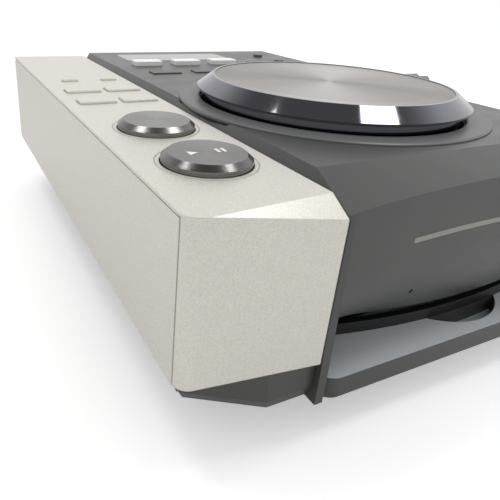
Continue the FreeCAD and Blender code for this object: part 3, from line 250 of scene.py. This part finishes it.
def silver_look():
    look = Look("silver_paint", linear(222, 219, 210), 0.40, 0.4)
    look.edge(0.5 * mm)
    look.tint(look.cells(4600), 0.86, 1.12, 0.1, 0.9)
    look.bump(look.noise(7000, 2), 0.03 * mm, 0.3)
    return look.material


def dark_base(name):
    look = Look(name, linear(62, 63, 61), 0.34)
    look.edge(0.45 * mm)
    look.tint(look.noise(14, 3), 0.95, 1.06)
    look.rub(look.noise(60, 4), 0.30, 0.38)
    look.bump(look.noise(9000, 2), 0.02 * mm, 0.2)
    look.set("Specular IOR Level", 0.6)
    return look


def dark_look():
    return dark_base("dark_plastic").material


def pan_look_with_painted_highlight():
    """Dark moulding whose level shelf in front of the slot gets a pale painted highlight, standing for the
    light and sheen its top catches.
    """
    look = dark_base("pan_plastic_painted_highlight")
    place = look.add("ShaderNodeSeparateXYZ")
    look.link(look.place, place.inputs["Vector"])
    facing = look.add("ShaderNodeSeparateXYZ")
    look.link(look.add("ShaderNodeNewGeometry").outputs["True Normal"], facing.inputs["Vector"])
    level = look.spread(facing.outputs["Z"], 0.0, 1.0, 0.9, 0.95)
    ahead = look.spread(place.outputs["Y"], 1.0, 0.0, sill_back, sill_back + mm)
    painted_highlight_mask = look.add("ShaderNodeMath", operation="MULTIPLY")
    look.link(level, painted_highlight_mask.inputs[0])
    look.link(ahead, painted_highlight_mask.inputs[1])
    painted_highlight_mix = look.add("ShaderNodeMix", data_type="RGBA")
    plain = look.shader.inputs["Base Color"].links[0].from_socket
    look.link(painted_highlight_mask.outputs["Value"], painted_highlight_mix.inputs["Factor"])
    look.link(plain, painted_highlight_mix.inputs["A"])
    # Painted highlight: pale colour on the shelf top in place of the light and sheen it catches
    painted_highlight_mix.inputs["B"].default_value = linear(196, 201, 204)
    look.link(painted_highlight_mix.outputs["Result"], look.shader.inputs["Base Color"])
    return look.material


def black_look():
    look = Look("black_plastic", linear(22, 22, 23), 0.45)
    look.edge(0.25 * mm)
    look.tint(look.noise(40, 3), 0.85, 1.15)
    look.bump(look.noise(2500, 2), 0.03 * mm, 0.3)
    return look.material


def plain_look(name, colour, roughness, coat=0.0, edge=0.3):
    look = Look(name, colour, roughness)
    look.edge(edge * mm)
    look.tint(look.noise(35, 3), 0.96, 1.04)
    look.bump(look.noise(1500, 2), 0.02 * mm, 0.15)
    look.set("Coat Weight", coat)
    return look.material


def metal_look(name, colour, roughness, stretch):
    look = Look(name, colour, roughness, 1.0)
    look.tint(look.noise(900, 3, stretch), 0.88, 1.08)
    look.rub(look.noise(630, 3, stretch), roughness * 0.8, roughness * 1.25)
    return look.material


def chrome_look():
    look = Look("jog_chrome", linear(122, 122, 130), 0.07, 1.0)
    look.rub(look.noise(80, 3), 0.05, 0.10)
    return look.material


def board_look():
    look = Look("board", linear(30, 92, 52), 0.35)
    look.tint(look.cells(260), 0.8, 1.12, 0.1, 0.9)
    look.rub(look.noise(300, 3), 0.28, 0.45)
    return look.material


def window_look():
    look = Look("window", linear(30, 33, 35), 0.06)
    look.tint(look.noise(30, 2), 0.95, 1.05)
    look.rub(look.noise(50, 3), 0.04, 0.08)
    look.set("Coat Weight", 0.5)
    return look.material


def rubber_look():
    look = Look("rubber", linear(38, 38, 38), 0.75)
    look.tint(look.noise(700, 3), 0.8, 1.2)
    look.bump(look.noise(1600, 3), 0.05 * mm, 0.4)
    return look.material


def centre_of(node):
    low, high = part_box(node)
    return (low + high) / 2


def jog_metal_look():
    look = Look("jog_metal", linear(152, 147, 143), 0.24, 1.0)
    return spun(look, centre_of("jog_plate"), 0.35 * mm, 0.012 * mm, 0.92).material


def button_look(node):
    look = Look("spun_" + node, linear(118, 117, 115), 0.17, 1.0)
    return spun(look, centre_of(node), 0.3 * mm, 0.008 * mm, 0.9).material


def make_materials():
    return {
        "silver_paint": silver_look(),
        "dark_plastic": dark_look(),
        "black_plastic": black_look(),
        "pale_inlay": plain_look("pale_inlay", linear(136, 134, 127), 0.35, coat=0.3, edge=0.1),
        "window": window_look(),
        "ring_plastic": plain_look("ring_plastic", linear(96, 97, 97), 0.38, edge=0.4),
        "jog_chrome": chrome_look(),
        "jog_metal": jog_metal_look(),
        "button_metal": button_look("play_button"),
        "steel": metal_look("steel", linear(190, 190, 192), 0.3, (1, 1, 30)),
        "sheet_steel": metal_look("sheet_steel", linear(176, 178, 180), 0.42, (1, 8, 1)),
        "board": board_look(),
        "rubber": rubber_look(),
        "gear_plastic": plain_look("gear_plastic", linear(226, 224, 216), 0.4),
        "knob_plastic": plain_look("knob_plastic", linear(128, 128, 126), 0.42),
        "bright_key": plain_look("bright_key", linear(236, 236, 232), 0.22, coat=0.6),
        "grey_key": plain_look("grey_key", linear(84, 85, 84), 0.4),
        "print": plain_look("print", linear(196, 198, 198), 0.5, edge=0.05),
        "red_ring": plain_look("red_ring", linear(176, 34, 30), 0.35),
        "white_ring": plain_look("white_ring", linear(226, 226, 222), 0.35),
        "amber_ring": plain_look("amber_ring", linear(206, 128, 30), 0.35),
    }


def dress_nodes(materials):
    slots = {entry["node"]: entry["material_slot"] for entry in frame["record"]["subparts"]}
    for name, node in nodes.items():
        material = materials[slots[name]]
        if name == "cue_button":
            material = button_look("cue_button")
        # The base moulding gets a pale painted highlight on its shelf top
        if name == "base_pan":
            material = pan_look_with_painted_highlight()
        node.data.materials.clear()
        node.data.materials.append(material)


# Pieces

def piece(name, mesh, body, material):
    """Link a mesh as a piece that rides on a body."""
    thing = bpy.data.objects.new(name, mesh)
    bpy.context.scene.collection.objects.link(thing)
    mesh.materials.append(material)
    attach(thing, body)
    return thing


def mesh_from(bm, name, smooth=False):
    bmesh.ops.recalc_face_normals(bm, faces=bm.faces)
    mesh = bpy.data.meshes.new(name)
    bm.to_mesh(mesh)
    bm.free()
    if smooth:
        mesh.shade_smooth()
    return mesh


def add_plate(bm, outline, low, high, frame_at=None):
    """Thin plate on a flat outline, optionally moved into another frame."""
    place = frame_at or Matrix.Identity(4)
    bottom = [bm.verts.new(place @ Vector((x, y, low))) for x, y in outline]
    top = [bm.verts.new(place @ Vector((x, y, high))) for x, y in outline]
    bm.faces.new(bottom[::-1])
    bm.faces.new(top)
    count = len(outline)
    for index in range(count):
        follow = (index + 1) % count
        bm.faces.new((bottom[index], bottom[follow], top[follow], top[index]))


def rectangle(x, y, width, depth):
    return [(x - width / 2, y - depth / 2), (x + width / 2, y - depth / 2),
            (x + width / 2, y + depth / 2), (x - width / 2, y + depth / 2)]


def add_turned(bm, profile, place, count=40):
    """Closed ring of revolution from (radius, height) points."""
    rows = []
    for radius, height in profile:
        rows.append([bm.verts.new(place @ Vector((radius * math.cos(2 * math.pi * step / count),
                                                  radius * math.sin(2 * math.pi * step / count), height)))
                     for step in range(count)])
    for index in range(len(rows)):
        here, there = rows[index], rows[(index + 1) % len(rows)]
        for step in range(count):
            follow = (step + 1) % count
            bm.faces.new((here[step], here[follow], there[follow], there[step]))


def outward(x, y, z, direction):
    """Frame with its Z along a direction, at a point."""
    turn = Vector(direction).to_track_quat("Z", "Y").to_matrix().to_4x4()
    return Matrix.Translation((x, y, z)) @ turn


def transport_symbols(white):
    """Play triangle and pause bars on the play button."""
    low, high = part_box("play_button")
    x, y, top = (low.x + high.x) / 2, (low.y + high.y) / 2, high.z
    bm = bmesh.new()
    half, tall = 1.9 * mm, 3.8 * mm
    triangle = [(x - 7.2 * mm, y - half), (x - 3.4 * mm, y), (x - 7.2 * mm, y + half)]
    add_plate(bm, triangle, top - MARK_SUNK, top + MARK_PROUD)
    for bar in (3.9 * mm, 6.2 * mm):
        add_plate(bm, rectangle(x + bar, y, 1.2 * mm, tall), top - MARK_SUNK, top + MARK_PROUD)
    piece("play_symbol", mesh_from(bm, "play_symbol"), "play_button_body", white)


def seam_shade_strip(black):
    """Black strip in the seam between the silver and the dark part: painted shade, standing for the shadow
    deep in the gap.
    """
    bm = bmesh.new()
    facet_drop, facet_depth = 5.1 * mm, 8.6 * mm
    low, high, top = casing_low.y + 0.2 * mm, back_face - 3.2 * mm, casing_high.z - 0.3 * mm
    bottom = casing_low.z + 0.4 * mm
    side = [(low, bottom), (low, top - facet_drop), (low + facet_depth, top), (high, top), (high, bottom)]
    upright = Matrix(((0, 0, 1, 0), (1, 0, 0, 0), (0, 1, 0, 0), (0, 0, 0, 1)))
    seam = casing_high.x
    add_plate(bm, side, seam + 0.05 * mm, seam + 0.9 * mm, upright)
    piece("seam_shade_strip", mesh_from(bm, "seam_shade_strip"), "housing", black)


def socket_rings(looks):
    """Plated sleeve and coloured insulator on each round rear socket."""
    low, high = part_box("jack_block")
    height = (panel_low.z + panel_high.z) / 2 - SOCKET_DROP
    edge, round_off = 0.1 * mm, 0.2 * mm
    ring_edge = SHELL_BORE + 0.02 * mm
    ring_back, ring_front = -2.6 * mm, -1.4 * mm
    for name, along, colour in SOCKETS:
        place = outward(low.x + along, high.y, height, (0, 1, 0))
        bm = bmesh.new()
        add_turned(bm, [(SHELL_BORE, -SHELL_LENGTH), (SHELL_RADIUS, -SHELL_LENGTH), (SHELL_RADIUS, -edge),
                        (SHELL_RADIUS - round_off, edge), (SHELL_BORE + round_off, edge),
                        (SHELL_BORE, -edge)], place)
        piece(name + "_sleeve", mesh_from(bm, name + "_sleeve", True), "housing", looks["steel"])
        bm = bmesh.new()
        add_turned(bm, [(PIN_RADIUS, ring_back), (ring_edge, ring_back), (ring_edge, ring_front),
                        (PIN_RADIUS, ring_front)], place)
        piece(name + "_insulator", mesh_from(bm, name + "_insulator"), "housing", looks[colour])


def screw_heads(looks):
    """Crossed screws in the rear panel and under the base."""
    bm = bmesh.new()
    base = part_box("base_pan")[0].z
    spots = [(outward(x, back_face, z, (0, 1, 0)), PANEL_SCREW) for x in PANEL_COLUMNS for z in PANEL_ROWS]
    spots += [(outward(x, y, base, (0, 0, -1)), BASE_SCREW) for x in BASE_COLUMNS for y in BASE_ROWS]
    for place, radius in spots:
        head = ((0.2, -0.3), (radius, -0.3), (radius, 0.5), (radius * 0.75, 1.0), (1.2, 1.1), (0.9, 0.4),
                (0.2, 0.3))
        add_turned(bm, [(out * mm, up * mm) for out, up in head], place, 24)
        for turn in (0, math.pi / 2):
            slot = place @ Matrix.Rotation(turn, 4, "Z")
            add_plate(bm, rectangle(0, 0, 0.5 * mm, 1.9 * mm), 0.2 * mm, 0.45 * mm, slot)
    piece("screws", mesh_from(bm, "screws"), "housing", looks["steel"])


def tempo_scale(looks):
    """Tick marks printed beside the tempo fader."""
    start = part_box("tempo_knob")[0].x - 3.4 * mm
    middle = centre_of("tempo_fader").y
    ring_low, ring_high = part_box("jog_ring")
    ring_middle = (ring_low + ring_high) / 2
    clear = (ring_high.x - ring_low.x) / 2 + 0.6 * mm
    bm = bmesh.new()
    for step in range(-TEMPO_STEPS, TEMPO_STEPS + 1):
        long = LONG_MARK if step % 4 == 0 else SHORT_MARK
        y = middle + TEMPO_TRAVEL * step / TEMPO_STEPS
        if math.hypot(start - ring_middle.x, y - ring_middle.y) < clear:
            continue
        add_plate(bm, rectangle(start + (LONG_MARK - long) / 2 + 0.2 * mm, y, long, 0.35 * mm),
                  deck_top - MARK_SUNK, deck_top + MARK_PROUD)
    piece("tempo_scale", mesh_from(bm, "tempo_scale"), "housing", looks["print"])


def place_world():
    """White surroundings, dimmer overhead where only gloss sees them."""
    world = bpy.data.worlds.new("world")
    bpy.context.scene.world = world
    world.use_nodes = True
    tree = world.node_tree
    backdrop = tree.nodes["Background"]
    backdrop.inputs["Color"].default_value = (1, 1, 1, 1)

    def math_node(operation, first, second):
        node = tree.nodes.new("ShaderNodeMath")
        node.operation = operation
        for socket, value in zip(node.inputs, (first, second)):
            if isinstance(value, float):
                socket.default_value = value
            else:
                tree.links.new(value, socket)
        return node.outputs["Value"]

    path = tree.nodes.new("ShaderNodeLightPath")
    place = tree.nodes.new("ShaderNodeTexCoord")
    parts = tree.nodes.new("ShaderNodeSeparateXYZ")
    tree.links.new(place.outputs["Generated"], parts.inputs["Vector"])
    overhead = tree.nodes.new("ShaderNodeMapRange")
    overhead.interpolation_type = "SMOOTHSTEP"
    overhead.inputs["From Min"].default_value = 0.5
    overhead.inputs["From Max"].default_value = 0.85
    overhead.inputs["To Min"].default_value = 1.0
    overhead.inputs["To Max"].default_value = OVERHEAD_LEVEL
    tree.links.new(parts.outputs["Z"], overhead.inputs["Value"])
    gloss = math_node("MULTIPLY", overhead.outputs["Result"], path.outputs["Is Glossy Ray"])
    clear = math_node("MAXIMUM", path.outputs["Is Camera Ray"], path.outputs["Is Transmission Ray"])
    plain = math_node("MULTIPLY", path.outputs["Is Diffuse Ray"], DIFFUSE_LEVEL)
    tree.links.new(math_node("ADD", math_node("ADD", gloss, clear), plain), backdrop.inputs["Strength"])


def place_lamps():
    for name, aim, distance, size, radiance in LAMPS:
        data = bpy.data.lights.new(name, "AREA")
        data.size = size
        data.energy = radiance * math.pi * size * size
        lamp = bpy.data.objects.new(name, data)
        bpy.context.scene.collection.objects.link(lamp)
        direction = Vector(aim).normalized()
        lamp.location = direction * distance + Vector((0, 0, LAMP_AIM_HEIGHT))
        lamp.rotation_mode = "QUATERNION"
        lamp.rotation_quaternion = direction.to_track_quat("Z", "Y")


def place_floor():
    bm = bmesh.new()
    corners = [bm.verts.new((x, y, 0)) for x, y in ((-3, -3), (3, -3), (3, 3), (-3, 3))]
    bm.faces.new(corners)
    floor = bpy.data.objects.new("floor", mesh_from(bm, "floor"))
    bpy.context.scene.collection.objects.link(floor)
    look = Look("floor", linear(240, 240, 240), 0.7)
    look.tint(look.noise(3, 2), 0.995, 1.005)
    path = look.add("ShaderNodeLightPath")
    look.shader.inputs["Emission Color"].default_value = (1, 1, 1, 1)
    look.link(look.spread(path.outputs["Is Camera Ray"], 0.0, FLOOR_GLOW, 0, 1),
              look.shader.inputs["Emission Strength"])
    floor.data.materials.append(look.material)


bpy.context.scene.view_settings.view_transform = "Standard"
place_camera()
looks = make_materials()
dress_nodes(looks)
transport_symbols(looks["bright_key"])
# Painted shade: black strip in the seam where the gap lies in shadow
seam_shade_strip(looks["black_plastic"])
socket_rings(looks)
screw_heads(looks)
tempo_scale(looks)
place_world()
place_lamps()
place_floor()
